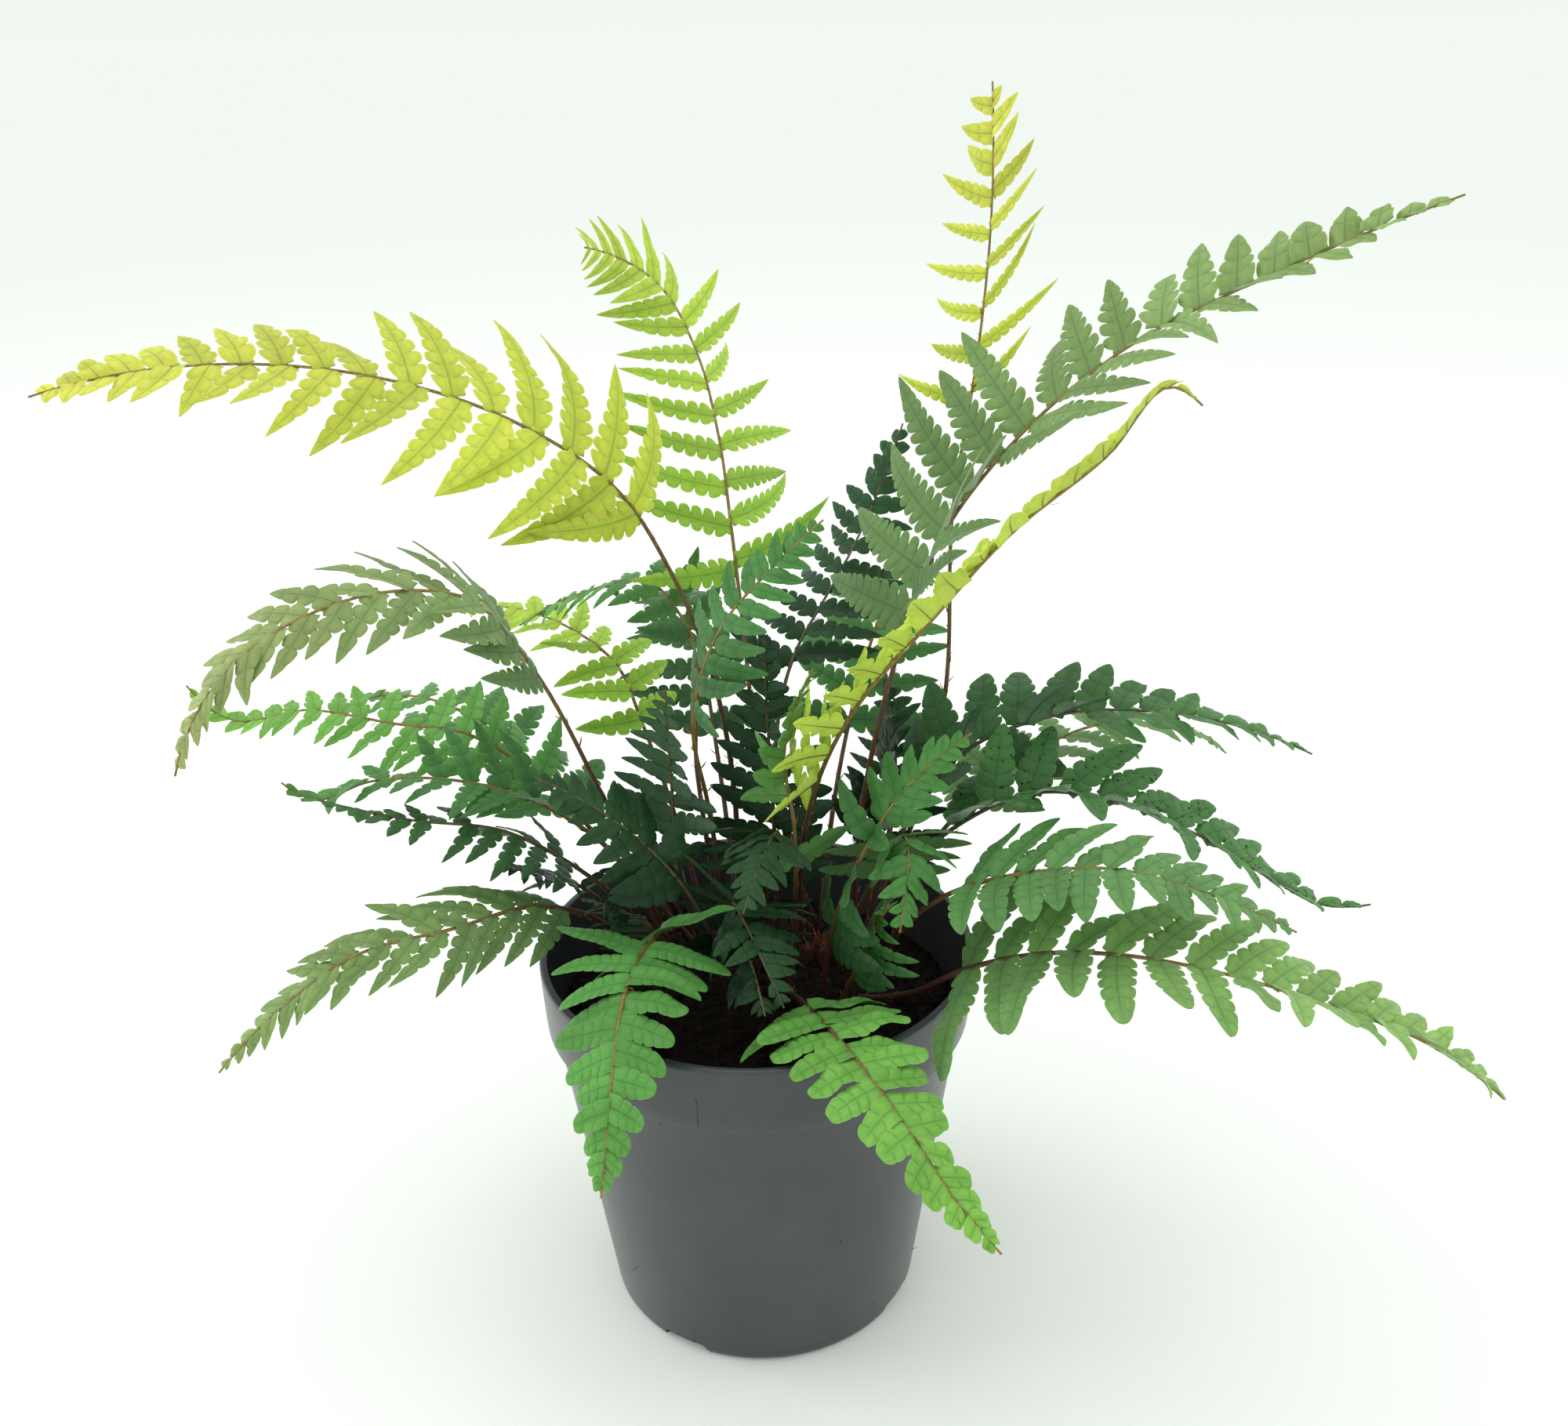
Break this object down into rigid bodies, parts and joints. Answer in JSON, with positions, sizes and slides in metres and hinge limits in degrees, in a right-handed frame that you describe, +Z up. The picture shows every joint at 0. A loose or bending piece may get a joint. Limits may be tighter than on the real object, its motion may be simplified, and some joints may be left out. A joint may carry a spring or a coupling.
{
  "type": "potted wood fern",
  "caption": "Round grey nursery pot of dark soil with a rosette of long arching fronds, each cut into toothed, lobed leaflets along a thin brown rib.",
  "frame": {"origin": "centre of the pot's flat underside, on the surface it stands on", "axes": "+Z up along the pot's axis; the side seen in the picture faces -Y and +X is to the viewer's right"},
  "size_m": [0.3754, 0.2849, 0.356],
  "materials": {
    "pot_plastic": "dark grey injection-moulded plastic, satin, faintly grained",
    "potting_soil": "dark, damp and crumbly peat, matte",
    "crown_scales": "dry reddish-brown papery scales, matte",
    "leaf_lime": "living fern leaf, soft sheen",
    "leaf_fresh": "living fern leaf, soft sheen",
    "leaf_deep": "living fern leaf, soft sheen",
    "leaf_olive": "living fern leaf, soft sheen",
    "leaf_grey_green": "living fern leaf, soft sheen"
  },
  "bodies": {
    "root": {"pot": "pot_plastic", "soil": "potting_soil", "crown_scales": "crown_scales", "frond_01": "leaf_lime", "frond_02": "leaf_lime", "frond_03": "leaf_lime", "frond_04": "leaf_grey_green", "frond_05": "leaf_lime", "frond_06": "leaf_olive", "frond_07": "leaf_fresh", "frond_08": "leaf_fresh", "frond_09": "leaf_deep", "frond_10": "leaf_olive", "frond_11": "leaf_fresh", "frond_12": "leaf_fresh", "frond_13": "leaf_olive", "frond_14": "leaf_deep", "frond_15": "leaf_deep", "frond_16": "leaf_fresh", "frond_17": "leaf_fresh", "frond_18": "leaf_deep", "frond_19": "leaf_lime", "frond_20": "leaf_fresh", "frond_21": "leaf_deep", "frond_22": "leaf_deep", "frond_23": "leaf_deep", "frond_24": "leaf_deep", "frond_25": "leaf_fresh", "frond_26": "leaf_fresh", "frond_27": "leaf_deep", "frond_28": "leaf_olive", "frond_29": "leaf_fresh", "frond_30": "leaf_deep", "frond_31": "leaf_deep", "frond_32": "leaf_fresh", "frond_33": "leaf_deep", "frond_34": "leaf_deep", "frond_35": "leaf_deep", "frond_36": "leaf_fresh", "frond_37": "leaf_fresh", "frond_38": "leaf_deep"}
  },
  "joints": []
}
